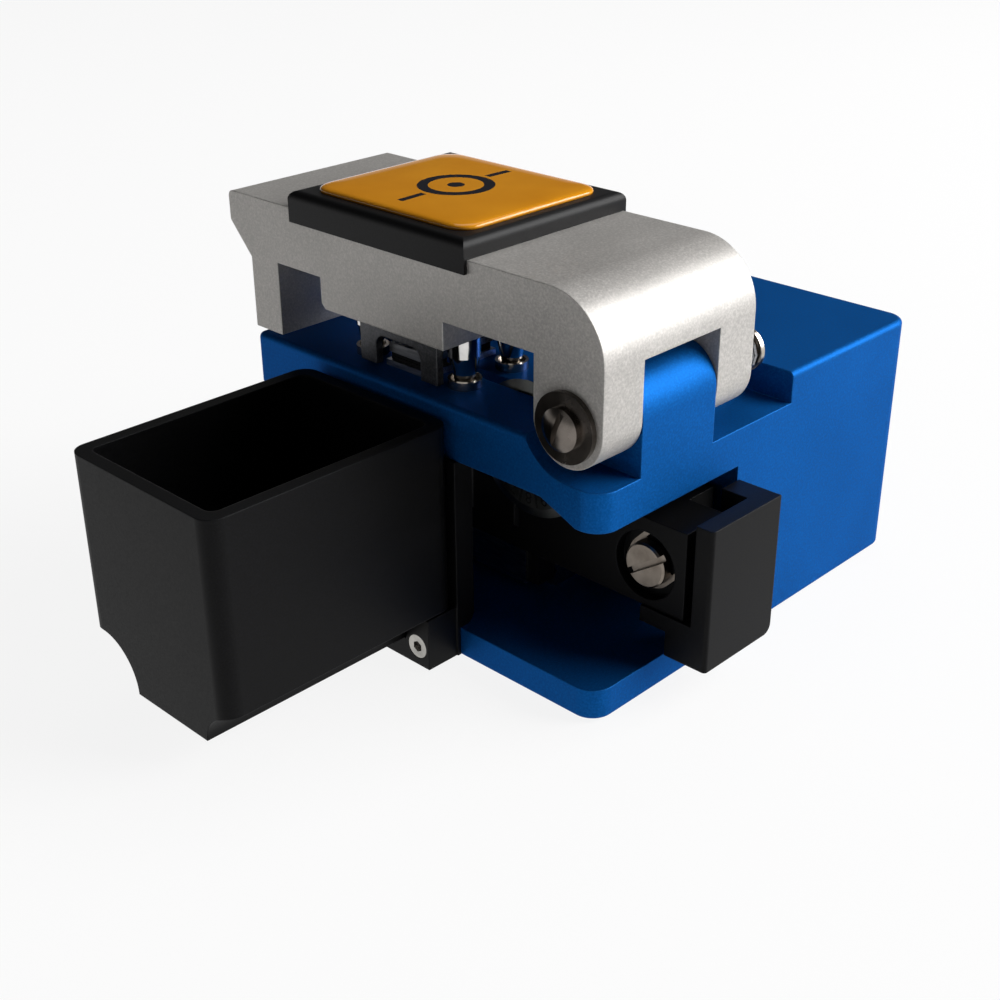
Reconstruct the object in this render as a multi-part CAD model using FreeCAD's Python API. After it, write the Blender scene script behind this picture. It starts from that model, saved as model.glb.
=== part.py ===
import FreeCAD, Part

# Optical fibre cleaver, millimetres.
# X runs along the fibre, +X towards the scrap bin; +Y towards the hinge at the back; +Z up.
# The origin is the centre of the body's underside, and the rubber feet reach below it.
# The lid is closed, and the blade slider is parked at the back.

import math
import os

V = FreeCAD.Vector

# ---- Body, machined from one aluminium block
BODY_W = 65.5
BODY_D = 61.3
BODY_H = 34.8
CORNER_R = 3.0
MOUTH_CORNER_R = 1.0        # the body's corner over the channel's front mouth
TOP_EDGE_R = 0.8
BASE_EDGE_R = 0.5
FLOOR_T = 4.2
CHANNEL_W = 26.35           # slider channel, from its wall to the open side
CHANNEL_H = 23.6
RIM_DROP = 2.3              # the roof of the channel is lower by this at the back rim
RIM_FLAT = 3.65
RIM_SLOPE = 5.5
POCKET_W = 37.15            # pocket for the lid's ears, from the open side
SKIN_T = 2.0                # body top left over the blade's relief
SLOT_W = 2.2                # slot that the blade passes through
RELIEF_IN = 9.7             # relief round the blade, on the carriage's side
RELIEF_OUT = 6.3
RELIEF_GAP = 0.9
SLOT_GAP = 0.6

# ---- Rubber feet
FOOT_R = 4.0
FOOT_T = 1.5
FOOT_PROUD = 0.5
FOOT_INSET = 8.0
FOOT_GAP = 0.1

# ---- Lid and its hinge
LID_W = 27.5
LID_INSET = 0.1             # lid's side behind the body's side
LID_TOP = 18.75             # above the body's top
BEAM_UNDER = 10.35
NOTCH_UNDER = 10.8          # top of the notch behind the front leg
FOOT_UNDER = 6.7            # the lid's middle foot, above the body's top
LEG_UNDER = 0.9
FOOT_BACK = 5.75
FOOT_FRONT = -16.4
FOOT_BEVEL = 0.7
LEG_T = 5.45
LEG_SET_BACK = 0.2
LIP_REACH = 3.95
LIP_UNDER = 14.8
LIP_BEVEL_END = 10.5
LIP_R = 0.8
BACK_R = 8.0
EAR_R = 5.15
HINGE_RISE = 3.0
FORK_GAP = 13.9
LUG_GAP = 0.15
POCKET_GAP = 2.05
PIN_R = 2.0
RUN_GAP = 0.03              # radial clearance of a running fit
SLIP_GAP = 0.01             # radial clearance of a part that is fixed in its bore
BUSH_T = 1.0
BUSH_L = 6.6

# ---- Hinge ends and the lid's torsion spring
WASHER_R = 4.3
WASHER_T = 0.75
HEAD_R = 2.6
HEAD_T = 1.5
FAR_HEAD_R = 2.95           # the pin's own head, beyond the spring
HINGE_SLOT_ANGLE = 75.0
HEAD_SLOT_W = 0.7
HEAD_SLOT_D = 0.6
SCREW_R = 1.25
SCREW_L = 6.0
SPRING_WIRE_R = 0.3
SPRING_TURNS = 6
SPRING_L = 5.0
SPRING_GAP = 0.15
SPRING_LEG_DEPTH = 0.8

# ---- Grip saddle and its domed badge
PAD_FRONT = -21.3
PAD_BACK = 10.0
PAD_T = 2.35
PAD_SKIRT = 1.65
PAD_SIDE_T = 0.5
PAD_EDGE_R = 1.1
DOME_MARGIN = 2.1
DOME_T = 0.8
DOME_CORNER_R = 2.4
DOME_EDGE_R = 0.6

# ---- Fibre line and blade
FIBRE_Y = -5.0
FIBRE_RISE = 1.2            # above the body's top
BLADE_INSET = 10.05         # blade's plane, from the body's open side
BLADE_R = 9.12
BLADE_T = 0.96
BLADE_BITE = 0.1            # blade's top above the fibre line
BLADE_BEVEL = 1.3
BLADE_PARK = 15.8           # blade's centre behind the fibre line when parked
TRAVEL = 21.0
BLADE_BORE_R = 2.5

# ---- Linear guide
RAIL_X = 14.0
RAIL_W = 5.0
RAIL_H = 3.6
RAIL_FRONT = -28.0
RAIL_L = 37.5
RAIL_GROOVE = 0.5
RAIL_PITCH = 15.0
RAIL_SCREW_STOP = 0.6       # rail screws' holes stop at this height
GUIDE_H = 6.0
GUIDE_W = 12.0
GUIDE_L = 12.0
GUIDE_CAP = 2.0
GUIDE_LIFT = 1.0
GUIDE_MID = 1.4
GUIDE_GAP = 0.08
GUIDE_CAP_INSET = 0.3
GUIDE_SCREW_INSET = 1.8

# ---- Small cap screws
CAP_R = 1.0
CAP_HEAD_R = 1.75
CAP_HEAD_T = 1.3
CAP_SOCKET_AF = 1.5
CAP_SINK = 0.3
HOLE_GAP = 0.05

# ---- Carriage and push blocks
CARRIAGE_W = 12.5
CARRIAGE_H = 12.0
CARRIAGE_FACE = 2.7         # carriage's face inside the blade's plane
CARRIAGE_BACK = 33.5
CARRIAGE_FRONT = -13.5
TONGUE_W = 7.5
TONGUE_L = 5.5
TOWER_R = 4.6
TOWER_T = 5.0
SCREW_DEPTH = 2.5           # guide screws reach this far into the guide block
CAP_SEAT_H = 3.0            # guide screws' seat above the carriage's underside
BLOCK_SIDE_GAP = 0.4
BLOCK_PROUD = 0.4           # push blocks stand out from the carriage's face
BLOCK_D = 6.3
BLOCK_WALL = 2.5
BLOCK_LIFT = 0.4
BLOCK_RISE = 1.8            # push block's top above the carriage's top
BLOCK_INNER_WALL = 3.5
BLOCK_REVEAL = 1.5          # open gap between the tongue's end and the block's wall
BLOCK_EDGE_R = 0.5
BLOCK_HEEL_R = 1.3          # lower edge beside the channel's wall
BLOCK_FOOT_L = 4.0          # plate under the tongue that takes the block's screws
BLOCK_FOOT_T = 2.2
BLOCK_SCREW_PITCH = 3.6
BLOCK_SCREW_SHIFT = 0.65
BLOCK_SCREW_IN = 1.3
BLOCK_SCREW_R = 0.8
BLOCK_SCREW_HEAD_R = 1.5
BLOCK_SCREW_REACH = 3.5
RAIL_CLEAR = 0.5

# ---- Blade post and screws
POST_FLANGE_R = 3.6
POST_ROOT_R = 2.0
BLADE_SCREW_R = 3.7
BLADE_SCREW_T = 1.2
LOCK_Y = 27.35
LOCK_Z = 5.5                # above the carriage's underside
LOCK_R = 3.0
LOCK_T = 1.4
LOCK_SHANK_R = 1.75
LOCK_SHANK_L = 6.0
LOCK_SLOT_W = 0.85
LOCK_SLOT_D = 0.9
LOCK_SLOT_ANGLE = 34.0
LOCK_WASHER_R = 3.5
LOCK_PRONG_L = 3.0          # the washer is open on one side, between two prongs
LOCK_PRONG_W = 0.65
LOCK_OPEN_ANGLE = 47.0
LOCK_WASHER_T = 0.4
LOCK_WELL_R = 4.6
LOCK_WELL_D = 1.6

# ---- Clamps and lid stops, mirrored about the blade's plane
STOP_X = 4.2
STOP_Y = 8.5
STOP_R = 2.1
STOP_DROP = 2.6
STOP_TIP_R = 1.3
STOP_STEM_R = 1.5
STOP_STEM_L = 4.0
CUP_R = 2.15
CUP_SEAT = 1.4
CUP_PROUD = 1.1
CUP_WELL_R = 1.75
CUP_WELL_D = 0.4
TIP_GAP = 0.1
SHOE_X0 = 1.7
SHOE_X1 = 6.1
SHOE_Y = 7.6
SHOE_T = 0.8
LOWER_PAD_INSET = 0.5
FRAME_X1 = 6.4
FRAME_Y = 11.2
FRAME_T = 2.9
CHEEK_T = 1.1
CHEEK_Y = 14.0
CHEEK_GAP_Y = 8.2
CHEEK_LIFT = 0.4
CHEEK_GAP_H = 4.0
CHEEK_GAP_R = 1.5
UPPER_SHOE_INSET = 0.3
UPPER_SHOE_T = 1.3
UPPER_PAD_T = 0.55
CLAMP_OPEN = 0.05
STEM_R = 1.0
STEM_RING_R = 1.8
STEM_RING_T = 0.8
STEM_OVER = 1.2
CLAMP_BORE_R = 2.1
CLAMP_BORE_H = 7.0
CLAMP_WIRE_R = 0.22
CLAMP_TURNS = 5
COIL_STEPS = 12
COIL_SIDES = 6

# ---- Anvil
ANVIL_T = 1.6
ANVIL_Y = 4.0
ANVIL_RISE = 0.9            # tip above the fibre line
ANVIL_TIP_H = 0.7
ANVIL_STEM_R = 1.2
ANVIL_RING_R = 2.1
ANVIL_RING_T = 1.0
ANVIL_STEP = 5.0
ANVIL_SPRING_H = 3.0
ANVIL_BORE_R = 2.3
ANVIL_WEB_GAP = 0.8

# ---- Fibre adapter
ADAPTER_L = 41.0
ADAPTER_W = 10.6
ADAPTER_SINK = 2.0
ADAPTER_RISE = 0.3          # plate's top above the fibre line
ADAPTER_END = 2.75          # plate's end inside the body's side
ADAPTER_GAP = 0.1
VEE_D = 0.7
CSK_R = 1.9
CSK_HOLE_R = 1.0
CSK_L = 5.0

# ---- Scrap bin and its bracket
BIN_GAP = 0.75              # bin's wall outside the body's side
BIN_L = 35.6
BIN_FRONT = -19.4
BIN_BACK = 7.7
BIN_H = 29.8
BIN_LIFT = 3.2
BIN_WALL = 1.8
BIN_CORNER_R = 2.2
BIN_BACK_SCOOP_R = 4.5
BIN_FRONT_SCOOP_R = 6.4
BIN_FRONT_SCOOP_IN = 2.4
CRADLE_L = 5.5
CRADLE_GAP = 0.3
CRADLE_LIFT = 0.2
BRACKET_T = 3.0
BRACKET_FRONT = -29.0
BRACKET_STEP = 0.2
BRACKET_EDGE_R = 1.5
BRACKET_SCREW_Z = 2.9
BRACKET_SCREW_IN = 2.1
BRACKET_SCREW_R = 0.8
BRACKET_HEAD_R = 1.6
BRACKET_SCREW_L = 9.5
MAGNET_R = 2.5
MAGNET_T = 1.2
MAGNET_PITCH = 12.0
MAGNET_Z = 16.0

# ---- Places that follow from the sizes above
TOP_Z = BODY_H
FLOOR_Z = FLOOR_T
ROOF_Z = FLOOR_Z + CHANNEL_H
RIM_Z = ROOF_Z - RIM_DROP
SIDE_X = BODY_W / 2
BACK_Y = BODY_D / 2
CHANNEL_X = SIDE_X - CHANNEL_W
POCKET_X = SIDE_X - POCKET_W
HINGE_Y = BACK_Y - EAR_R
HINGE_Z = TOP_Z + HINGE_RISE
POCKET_R = EAR_R + POCKET_GAP
LID_X1 = SIDE_X - LID_INSET
LID_X0 = LID_X1 - LID_W
LID_MID = (LID_X0 + LID_X1) / 2
LUG_W = FORK_GAP - 2 * LUG_GAP
BLADE_X = SIDE_X - BLADE_INSET
FIBRE_Z = TOP_Z + FIBRE_RISE
BLADE_Y = FIBRE_Y + BLADE_PARK
BLADE_Z = FIBRE_Z + BLADE_BITE - BLADE_R
FACE_X = BLADE_X - CARRIAGE_FACE
CARRIAGE_Z = FLOOR_Z + GUIDE_H
CARRIAGE_TOP = CARRIAGE_Z + CARRIAGE_H
LID_TOP_Z = TOP_Z + LID_TOP
LID_FOOT_Z = TOP_Z + FOOT_UNDER
BIN_X = SIDE_X + BIN_GAP
BIN_Z = BIN_LIFT
ADAPTER_X0 = -SIDE_X + ADAPTER_END


def box(x0, x1, y0, y1, z0, z1):
    """A block between two corners."""
    return Part.makeBox(x1 - x0, y1 - y0, z1 - z0, V(x0, y0, z0))


def rod(start, axis, radius, length):
    """A round bar from a point along an axis."""
    return Part.makeCylinder(radius, length, V(*start), V(*axis))


def side_prism(points, x0, x1):
    """A closed outline of (y, z) points, extruded along X."""
    corners = [V(x0, y, z) for y, z in points]
    face = Part.Face(Part.makePolygon(corners + corners[:1]))
    return face.extrude(V(x1 - x0, 0, 0))


def edges_along(shape, axis, places, tol=0.02):
    """The straight edges that run along one axis through any of the given places."""
    others = [i for i in range(3) if i != axis]
    found = []
    for edge in shape.Edges:
        a = edge.Vertexes[0].Point
        b = edge.Vertexes[-1].Point
        if any(abs(a[i] - b[i]) > tol for i in others) or abs(a[axis] - b[axis]) < tol:
            continue
        if any(all(abs(a[i] - p[k]) < tol for k, i in enumerate(others)) for p in places):
            found.append(edge)
    return found


def edges_at_height(shape, z, tol=0.02):
    """Every edge that lies wholly at one height."""
    return [e for e in shape.Edges if abs(e.BoundBox.ZMin - z) < tol and abs(e.BoundBox.ZMax - z) < tol]


def rounded_block(x0, x1, y0, y1, z0, z1, radius):
    """A block with its four upright edges rounded."""
    block = box(x0, x1, y0, y1, z0, z1)
    corners = [(x0, y0), (x0, y1), (x1, y0), (x1, y1)]
    return block.makeFillet(radius, edges_along(block, 2, corners))


def hexagon(centre, axis, across_flats, depth):
    """A hexagon socket that goes down from a point, against the axis."""
    radius = across_flats / math.sqrt(3)
    points = []
    for i in range(7):
        angle = math.radians(60 * i)
        points.append(V(radius * math.cos(angle), radius * math.sin(angle), 0))
    solid = Part.Face(Part.makePolygon(points)).extrude(V(0, 0, -depth))
    solid.Placement = FreeCAD.Placement(V(*centre), FreeCAD.Rotation(V(0, 0, 1), V(*axis)))
    return solid


def along(point, axis, distance):
    """A point moved along an axis."""
    return tuple(p + a * distance for p, a in zip(point, axis))


def cap_screw(seat, axis, length, shank_r=CAP_R, head_r=CAP_HEAD_R, head_t=CAP_HEAD_T):
    """A socket cap screw: the head stands on the seat along the axis, the shank goes the other way."""
    back = tuple(-a for a in axis)
    head = rod(seat, axis, head_r, head_t)
    shank = rod(seat, back, shank_r, length)
    socket = hexagon(along(seat, axis, head_t), axis, head_r * CAP_SOCKET_AF / CAP_HEAD_R, head_t * 0.6)
    return head.fuse(shank).removeSplitter().cut(socket)


def pan_head(seat, axis, radius, height, slot_w, slot_d, slot_angle=0.0):
    """A domed, slotted screw head that stands on its seat along the axis (X or -X)."""
    rim = height * 0.45
    sphere_r = (radius ** 2 + (height - rim) ** 2) / (2 * (height - rim))
    body = rod(seat, axis, radius, height)
    ball = Part.makeSphere(sphere_r, V(*along(seat, axis, height - sphere_r)))
    head = body.common(ball)
    slot = box(-slot_d, slot_d, -radius * 1.5, radius * 1.5, -slot_w / 2, slot_w / 2)
    slot.rotate(V(0, 0, 0), V(1, 0, 0), slot_angle)
    slot.translate(V(*along(seat, axis, height)))
    return head.cut(slot)


def coil(start, axis, mean_r, wire_r, length, turns):
    """A helical spring whose wire stays between the start and the given length, lofted in short steps."""
    steps = int(turns * COIL_STEPS)
    sections = []
    for i in range(steps + 1):
        angle = 2 * math.pi * i / COIL_STEPS
        rise = wire_r + (length - 2 * wire_r) * i / steps
        ring = []
        for k in range(COIL_SIDES + 1):
            turn = 2 * math.pi * k / COIL_SIDES
            radius = mean_r + wire_r * math.cos(turn)
            height = rise + wire_r * math.sin(turn)
            ring.append(V(radius * math.cos(angle), radius * math.sin(angle), height))
        sections.append(Part.makePolygon(ring))
    spring = Part.makeLoft(sections, True, True)
    spring.Placement = FreeCAD.Placement(V(*start), FreeCAD.Rotation(V(0, 0, 1), V(*axis)))
    return spring


def mirror_pair(solid):
    """The solid and its twin across the blade's plane."""
    return [solid, solid.mirror(V(BLADE_X, 0, 0), V(1, 0, 0))]


def blade_path(radius, x0, x1):
    """The space that a disc of the given radius sweeps as the blade travels."""
    parked = rod((x0, BLADE_Y, BLADE_Z), (1, 0, 0), radius, x1 - x0)
    pushed = rod((x0, BLADE_Y - TRAVEL, BLADE_Z), (1, 0, 0), radius, x1 - x0)
    between = box(x0, x1, BLADE_Y - TRAVEL, BLADE_Y, BLADE_Z - radius, BLADE_Z + radius)
    return parked.fuse(pushed).fuse(between)


def foot_places():
    """Centres of the four feet."""
    x = SIDE_X - FOOT_INSET
    y = BACK_Y - FOOT_INSET
    return [(-x, -y), (-x, y), (x, -y), (x, y)]


def rail_screw_places():
    """Places of the rail's screws along Y, evenly about its middle."""
    count = int((RAIL_L - 2 * CAP_HEAD_R) // RAIL_PITCH) + 1
    first = RAIL_FRONT + (RAIL_L - (count - 1) * RAIL_PITCH) / 2
    return [first + i * RAIL_PITCH for i in range(count)]


def stop_places():
    """Centres of the two lid stops on the bin's side of the blade."""
    return [(BLADE_X + STOP_X, FIBRE_Y + dy) for dy in (-STOP_Y, STOP_Y)]


def bracket_screw_places():
    """Places of the bracket's screws along Y."""
    front = BIN_FRONT + BIN_FRONT_SCOOP_IN + BRACKET_SCREW_IN
    return [front, BIN_BACK - BRACKET_SCREW_IN]


def magnet_places():
    """Places of the bin's magnets along Y."""
    middle = (BIN_FRONT + BIN_BACK) / 2
    return [middle - MAGNET_PITCH / 2, middle + MAGNET_PITCH / 2]


def make_body():
    """The body: rounded block, slider channel, ear pocket, hinge lug, blade slot and seats."""
    body = box(-SIDE_X, SIDE_X, -BACK_Y, BACK_Y, 0, TOP_Z)
    corners = [(-SIDE_X, -BACK_Y), (-SIDE_X, BACK_Y), (SIDE_X, BACK_Y)]
    body = body.makeFillet(CORNER_R, edges_along(body, 2, corners))
    body = body.makeFillet(MOUTH_CORNER_R, edges_along(body, 2, [(SIDE_X, -BACK_Y)]))
    body = body.makeFillet(TOP_EDGE_R, edges_at_height(body, TOP_Z))
    body = body.makeFillet(BASE_EDGE_R, edges_at_height(body, 0))
    out = CORNER_R
    roof = [
        (-BACK_Y - out, FLOOR_Z),
        (BACK_Y + out, FLOOR_Z),
        (BACK_Y + out, RIM_Z),
        (BACK_Y - RIM_FLAT, RIM_Z),
        (BACK_Y - RIM_FLAT - RIM_SLOPE, ROOF_Z),
        (-BACK_Y - out, ROOF_Z),
    ]
    body = body.cut(side_prism(roof, CHANNEL_X, SIDE_X + out))
    pocket = rod((POCKET_X, HINGE_Y, HINGE_Z), (1, 0, 0), POCKET_R, POCKET_W + out)
    pocket = pocket.fuse(box(POCKET_X, SIDE_X + out, HINGE_Y, BACK_Y + out, HINGE_Z - POCKET_R, HINGE_Z))
    body = body.cut(pocket)
    lug_x = LID_MID - LUG_W / 2
    lug = box(lug_x, lug_x + LUG_W, HINGE_Y - EAR_R, BACK_Y, HINGE_Z - POCKET_R - 1, HINGE_Z)
    lug = lug.fuse(rod((lug_x, HINGE_Y, HINGE_Z), (1, 0, 0), EAR_R, LUG_W))
    body = body.fuse(lug).removeSplitter()
    relief = blade_path(BLADE_R + RELIEF_GAP, BLADE_X - RELIEF_IN, BLADE_X + RELIEF_OUT)
    under_skin = box(CHANNEL_X, SIDE_X, -BACK_Y, BACK_Y, ROOF_Z - 1, TOP_Z - SKIN_T)
    body = body.cut(relief.common(under_skin))
    slot = blade_path(BLADE_R + SLOT_GAP, BLADE_X - SLOT_W / 2, BLADE_X + SLOT_W / 2)
    body = body.cut(slot.common(box(CHANNEL_X, SIDE_X, -BACK_Y, BACK_Y, ROOF_Z - 1, TOP_Z + out)))
    tools = [rod((lug_x - 1, HINGE_Y, HINGE_Z), (1, 0, 0), PIN_R + BUSH_T + RUN_GAP + SLIP_GAP, LUG_W + 2)]
    for x, y in foot_places():
        tools.append(rod((x, y, -1), (0, 0, 1), FOOT_R + FOOT_GAP, 1 + FOOT_T - FOOT_PROUD))
    for y in rail_screw_places():
        tools.append(rod((RAIL_X, y, RAIL_SCREW_STOP), (0, 0, 1), CAP_R + SLIP_GAP, FLOOR_T))
    for x, y in stop_places():
        seat = rod((x, y, TOP_Z - CUP_SEAT), (0, 0, 1), CUP_R + SLIP_GAP, CUP_SEAT + 1)
        tools.extend(mirror_pair(seat))
    for y in bracket_screw_places():
        start = (SIDE_X + 1, y, BRACKET_SCREW_Z)
        depth = 1 + BRACKET_SCREW_L - CRADLE_L
        tools.append(rod(start, (-1, 0, 0), BRACKET_SCREW_R + SLIP_GAP, depth + CAP_HEAD_T))
    half = ADAPTER_W / 2 + ADAPTER_GAP
    groove_z = TOP_Z - ADAPTER_SINK
    tools.append(box(ADAPTER_X0 - ADAPTER_GAP, ADAPTER_X0 + ADAPTER_L + ADAPTER_GAP,
                     FIBRE_Y - half, FIBRE_Y + half, groove_z, TOP_Z + 1))
    for x in adapter_screw_places():
        start = (x, FIBRE_Y + ADAPTER_W / 4, groove_z + 1)
        tools.append(rod(start, (0, 0, -1), CSK_HOLE_R + SLIP_GAP, CSK_L))
    spring_y = HINGE_Y - PIN_R - SPRING_GAP - SPRING_WIRE_R
    spring_hole = (spring_end_x(), spring_y, HINGE_Z - POCKET_R - 1)
    tools.append(rod(spring_hole, (0, 0, 1), SPRING_WIRE_R + HOLE_GAP, 3))
    return body.cut(Part.makeCompound(tools))


def make_feet():
    """Rubber feet, glued into round recesses."""
    return [rod((x, y, -FOOT_PROUD), (0, 0, 1), FOOT_R, FOOT_T) for x, y in foot_places()]


def make_rail():
    """Guide rail with ball grooves along both sides and counterbored screw holes."""
    half = RAIL_W / 2
    middle = FLOOR_Z + RAIL_H * 0.6
    lower = FLOOR_Z
    upper = FLOOR_Z + RAIL_H
    right = [(half, lower), (half, middle - RAIL_GROOVE), (half - RAIL_GROOVE, middle),
             (half, middle + RAIL_GROOVE), (half, upper)]
    left = [(-x, z) for x, z in reversed(right)]
    corners = [V(RAIL_X + x, RAIL_FRONT, z) for x, z in right + left]
    rail = Part.Face(Part.makePolygon(corners + corners[:1])).extrude(V(0, RAIL_L, 0))
    for y in rail_screw_places():
        rail = rail.cut(rod((RAIL_X, y, FLOOR_Z), (0, 0, 1), CAP_R + HOLE_GAP, RAIL_H))
        sink = CAP_HEAD_T + CAP_SINK
        rail = rail.cut(rod((RAIL_X, y, upper - sink), (0, 0, 1), CAP_HEAD_R + HOLE_GAP, sink))
    return rail


def make_rail_screws():
    """Cap screws that hold the rail to the channel's floor."""
    seat_z = FLOOR_Z + RAIL_H - CAP_HEAD_T - CAP_SINK
    reach = seat_z - RAIL_SCREW_STOP - HOLE_GAP
    return [cap_screw((RAIL_X, y, seat_z), (0, 0, 1), reach) for y in rail_screw_places()]


def make_guide_block():
    """The steel runner of the linear guide, with ridges that run in the rail's grooves."""
    y0 = GUIDE_MID - GUIDE_L / 2
    half = GUIDE_W / 2
    block = box(RAIL_X - half, RAIL_X + half, y0, y0 + GUIDE_L, FLOOR_Z + GUIDE_LIFT, CARRIAGE_Z)
    block = block.cut(rail_clearance(y0, y0 + GUIDE_L))
    for x, y in guide_screw_places():
        block = block.cut(rod((x, y, CARRIAGE_Z), (0, 0, -1), CAP_R + SLIP_GAP, SCREW_DEPTH + HOLE_GAP))
    return block


def rail_clearance(y0, y1):
    """The rail's section with running clearance, along a stretch of Y."""
    half = RAIL_W / 2 + GUIDE_GAP
    return box(RAIL_X - half, RAIL_X + half, y0, y1, FLOOR_Z, FLOOR_Z + RAIL_H + GUIDE_GAP)


def make_guide_caps():
    """Plastic end caps of the guide block."""
    caps = []
    inset = GUIDE_CAP_INSET
    for y0 in (GUIDE_MID - GUIDE_L / 2 - GUIDE_CAP, GUIDE_MID + GUIDE_L / 2):
        cap = box(RAIL_X - GUIDE_W / 2 + inset, RAIL_X + GUIDE_W / 2 - inset, y0, y0 + GUIDE_CAP,
                  FLOOR_Z + GUIDE_LIFT + inset, CARRIAGE_Z - inset)
        caps.append(cap.cut(rail_clearance(y0, y0 + GUIDE_CAP)))
    return caps


def guide_screw_places():
    """Centres of the four screws between carriage and guide block."""
    dx = GUIDE_W / 2 - GUIDE_SCREW_INSET
    dy = GUIDE_L / 2 - GUIDE_SCREW_INSET
    return [(RAIL_X + sx * dx, GUIDE_MID + sy * dy) for sx in (-1, 1) for sy in (-1, 1)]


def make_carriage():
    """The carriage: a bar with a tongue at each end, a tower for the blade and a lock-screw well."""
    main_x = FACE_X - CARRIAGE_W
    main = box(main_x, FACE_X, CARRIAGE_FRONT + TONGUE_L, CARRIAGE_BACK - TONGUE_L, CARRIAGE_Z, CARRIAGE_TOP)
    tongue = box(FACE_X - TONGUE_W, FACE_X, CARRIAGE_FRONT, CARRIAGE_BACK, CARRIAGE_Z, CARRIAGE_TOP)
    tower = box(FACE_X - TOWER_T, FACE_X, BLADE_Y - TOWER_R, BLADE_Y + TOWER_R, CARRIAGE_TOP - 1, BLADE_Z)
    tower = tower.fuse(rod((FACE_X - TOWER_T, BLADE_Y, BLADE_Z), (1, 0, 0), TOWER_R, TOWER_T))
    carriage = main.fuse(tongue).fuse(tower).removeSplitter()
    tools = [rod((FACE_X + 1, BLADE_Y, BLADE_Z), (-1, 0, 0), POST_ROOT_R + SLIP_GAP, TOWER_T + 2)]
    lock_z = CARRIAGE_Z + LOCK_Z
    tools.append(rod((FACE_X - LOCK_WELL_D, LOCK_Y, lock_z), (1, 0, 0), LOCK_WELL_R, LOCK_WELL_D + 1))
    shank_hole = LOCK_SHANK_R + HOLE_GAP
    tools.append(rod((FACE_X, LOCK_Y, lock_z), (-1, 0, 0), shank_hole, LOCK_SHANK_L + LOCK_WELL_D))
    seat = CARRIAGE_Z + CAP_SEAT_H
    for x, y in guide_screw_places():
        tools.append(rod((x, y, CARRIAGE_Z - 1), (0, 0, 1), CAP_R + HOLE_GAP, CAP_SEAT_H + 2))
        tools.append(rod((x, y, seat), (0, 0, 1), CAP_HEAD_R + HOLE_GAP, CARRIAGE_H))
    for x, y in block_screw_places():
        depth = 1 + BLOCK_SCREW_REACH + HOLE_GAP
        tools.append(rod((x, y, CARRIAGE_Z - 1), (0, 0, 1), BLOCK_SCREW_R + SLIP_GAP, depth))
    return carriage.cut(Part.makeCompound(tools))


def make_guide_screws():
    """Cap screws from the carriage into the guide block."""
    seat_z = CARRIAGE_Z + CAP_SEAT_H
    return [cap_screw((x, y, seat_z), (0, 0, 1), CAP_SEAT_H + SCREW_DEPTH) for x, y in guide_screw_places()]


def block_ends():
    """Outer face along Y of the back and front push blocks, with the way each faces."""
    back = CARRIAGE_BACK + BLOCK_REVEAL + BLOCK_WALL
    front = CARRIAGE_FRONT - BLOCK_REVEAL - BLOCK_WALL
    return [(back, 1), (front, -1)]


def block_screw_places():
    """Centres of the screws that hold the push blocks under the carriage's tongues."""
    places = []
    middle = FACE_X - TONGUE_W / 2 - BLOCK_SCREW_SHIFT
    for outer, way in block_ends():
        y = outer - way * (BLOCK_D + BLOCK_SCREW_IN)
        places += [(middle + sx * BLOCK_SCREW_PITCH / 2, y) for sx in (-1, 1)]
    return places


def make_push_block(outer, way, over_rail):
    """A push block: a deep cup, open to the bin's side and the top, round the carriage's tongue."""
    x0 = CHANNEL_X + BLOCK_SIDE_GAP
    x1 = FACE_X + BLOCK_PROUD
    y0, y1 = sorted((outer, outer - way * BLOCK_D))
    z0 = FLOOR_Z + BLOCK_LIFT
    z1 = CARRIAGE_TOP + BLOCK_RISE
    block = box(x0, x1, y0, y1, z0, z1)
    block = block.makeFillet(BLOCK_HEEL_R, edges_along(block, 1, [(x0, z0)]))
    block = block.makeFillet(BLOCK_EDGE_R, edges_along(block, 2, [(x1, outer)]))
    f0, f1 = sorted((outer - way * BLOCK_D, outer - way * (BLOCK_D + BLOCK_FOOT_L)))
    foot = box(FACE_X - TONGUE_W, x1, f0, f1, CARRIAGE_Z - BLOCK_FOOT_T, CARRIAGE_Z)
    block = block.fuse(foot).removeSplitter()
    w0, w1 = sorted((outer - way * BLOCK_WALL, outer - way * (BLOCK_D + BLOCK_FOOT_L + 1)))
    tools = [box(x0 + BLOCK_INNER_WALL, x1 + 1, w0, w1, CARRIAGE_Z, z1 + 1)]
    if over_rail:
        half = RAIL_W / 2 + RAIL_CLEAR
        tools.append(box(RAIL_X - half, RAIL_X + half, y0 - 1, y1 + 1, z0 - 1, CARRIAGE_Z - BLOCK_FOOT_T))
    for x, y in block_screw_places():
        if min(f0, y0) < y < max(f1, y1):
            tools.append(block_screw(x, y, HOLE_GAP))
    return block.cut(Part.makeCompound(tools))


def block_screw(x, y, grow):
    """Countersunk screw that goes up through a block's foot plate, grown by a clearance."""
    z0 = CARRIAGE_Z - BLOCK_FOOT_T
    head_r = BLOCK_SCREW_HEAD_R + grow
    shank_r = BLOCK_SCREW_R + grow
    head = Part.makeCone(head_r, shank_r, head_r - shank_r, V(x, y, z0))
    return head.fuse(rod((x, y, z0), (0, 0, 1), shank_r, BLOCK_FOOT_T + BLOCK_SCREW_REACH)).removeSplitter()


def make_block_screws():
    """Countersunk screws of both push blocks, slotted from below."""
    screws = []
    z0 = CARRIAGE_Z - BLOCK_FOOT_T
    for x, y in block_screw_places():
        slot = box(x - BLOCK_SCREW_HEAD_R, x + BLOCK_SCREW_HEAD_R, y - HEAD_SLOT_W / 4, y + HEAD_SLOT_W / 4,
                   z0, z0 + HEAD_SLOT_D / 2)
        screws.append(block_screw(x, y, 0).cut(slot))
    return screws


def blade_back_x():
    """The blade's inner face."""
    return BLADE_X - BLADE_T / 2


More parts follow.
